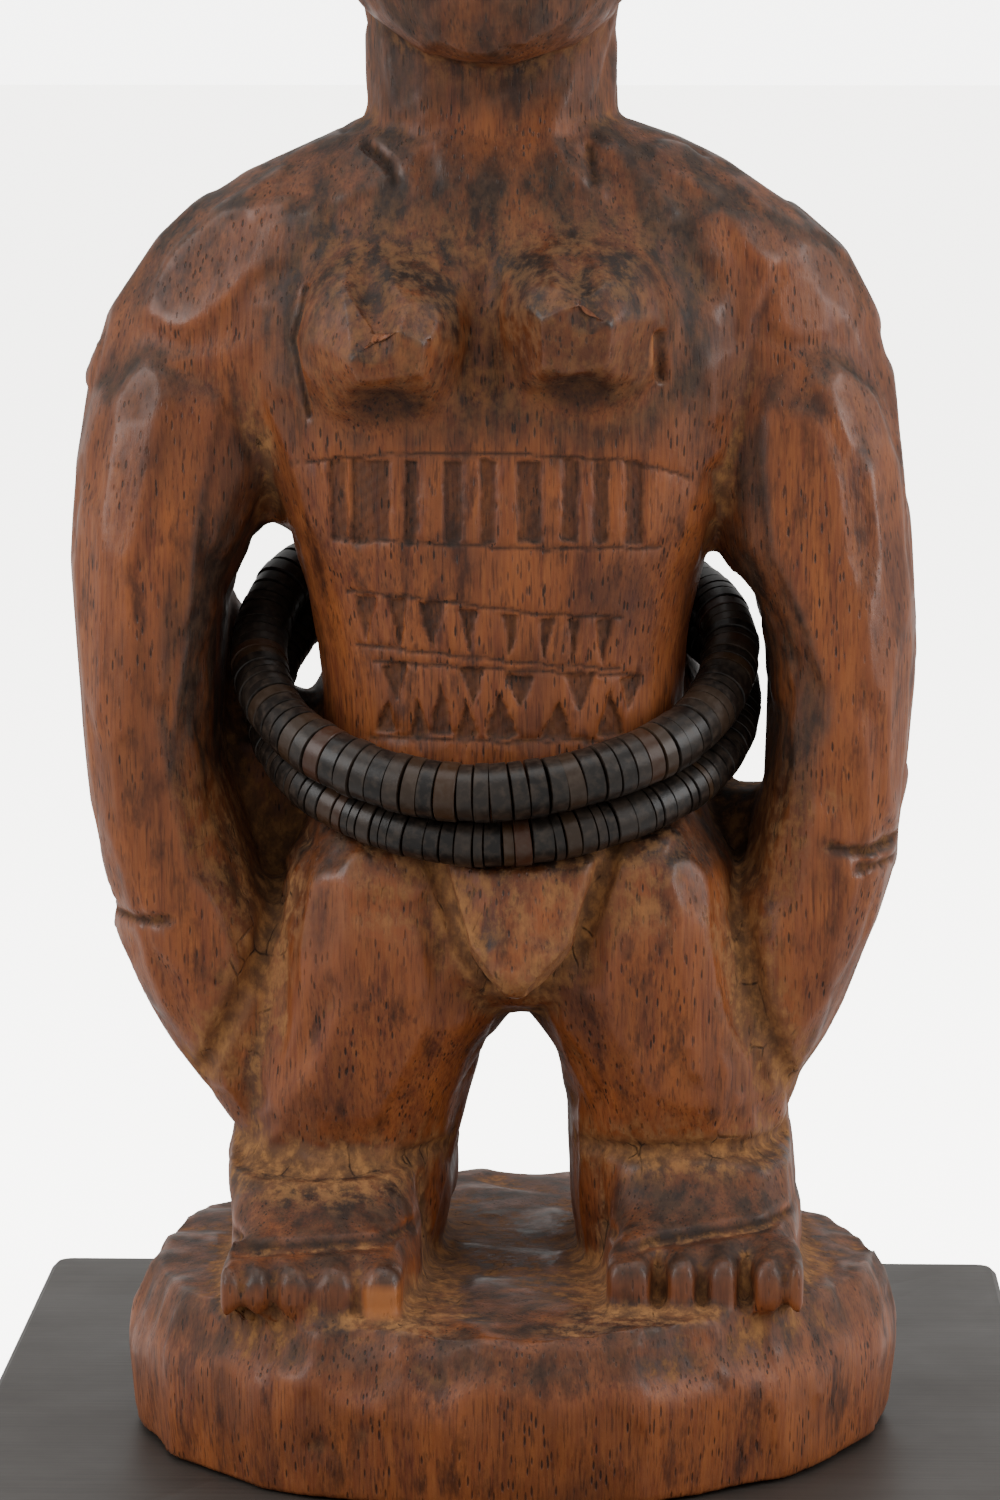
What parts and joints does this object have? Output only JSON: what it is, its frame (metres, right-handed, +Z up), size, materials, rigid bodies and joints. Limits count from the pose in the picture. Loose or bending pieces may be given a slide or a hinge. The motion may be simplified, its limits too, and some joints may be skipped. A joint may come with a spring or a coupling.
{
  "type": "carved wooden figure",
  "caption": "Standing carved hardwood doll on its own round base, screwed to a dark plinth, with two loose strands of black disc beads round its waist.",
  "frame": {"origin": "centre of the plane that the felt pads under the plinth stand on", "axes": "+Z up, the figure faces -Y, its right hand is towards -X"},
  "size_m": [0.192, 0.226, 0.359],
  "materials": {
    "carved_hardwood": "hand-carved reddish brown hardwood with a handled, oiled patina",
    "stained_wood": "black-stained satin",
    "bead_shell": "polished dark palm-nut shell",
    "twine": "twisted plant fibre",
    "screw_steel": "zinc-plated",
    "felt": "wool felt"
  },
  "bodies": {
    "figure_on_plinth": {"carved_figure": "carved_hardwood", "plinth": "stained_wood", "mount_screw_front": "screw_steel", "mount_screw_back": "screw_steel", "felt_pad_front_left": "felt", "felt_pad_back_left": "felt", "felt_pad_front_right": "felt", "felt_pad_back_right": "felt"},
    "lower_strand": {"lower_string": "twine", "lower_knot": "twine", "lower_beads_01": "bead_shell", "lower_beads_02": "bead_shell", "lower_beads_03": "bead_shell", "lower_beads_04": "bead_shell", "lower_beads_05": "bead_shell", "lower_beads_06": "bead_shell", "lower_beads_07": "bead_shell", "lower_beads_08": "bead_shell", "lower_beads_09": "bead_shell", "lower_beads_10": "bead_shell", "lower_beads_11": "bead_shell", "lower_beads_12": "bead_shell", "lower_beads_13": "bead_shell", "lower_beads_14": "bead_shell", "lower_beads_15": "bead_shell", "lower_beads_16": "bead_shell", "lower_beads_17": "bead_shell", "lower_beads_18": "bead_shell", "lower_beads_19": "bead_shell", "lower_beads_20": "bead_shell", "lower_beads_21": "bead_shell"},
    "upper_strand": {"upper_string": "twine", "upper_knot": "twine", "upper_beads_01": "bead_shell", "upper_beads_02": "bead_shell", "upper_beads_03": "bead_shell", "upper_beads_04": "bead_shell", "upper_beads_05": "bead_shell", "upper_beads_06": "bead_shell", "upper_beads_07": "bead_shell", "upper_beads_08": "bead_shell", "upper_beads_09": "bead_shell", "upper_beads_10": "bead_shell", "upper_beads_11": "bead_shell", "upper_beads_12": "bead_shell", "upper_beads_13": "bead_shell", "upper_beads_14": "bead_shell", "upper_beads_15": "bead_shell", "upper_beads_16": "bead_shell", "upper_beads_17": "bead_shell", "upper_beads_18": "bead_shell", "upper_beads_19": "bead_shell", "upper_beads_20": "bead_shell", "upper_beads_21": "bead_shell"}
  },
  "joints": [
    {"name": "lower_strand_lift", "type": "hinge", "parent": "figure_on_plinth", "child": "lower_strand", "pos_m": [-0.0011, 0.03904, 0.18115], "axis": [-1, 0, 0], "range_deg": [0, 8]},
    {"name": "upper_strand_lift", "type": "hinge", "parent": "lower_strand", "child": "upper_strand", "pos_m": [-0.0025, 0.03564, 0.19035], "axis": [-1, 0, 0], "range_deg": [0, 6]}
  ]
}
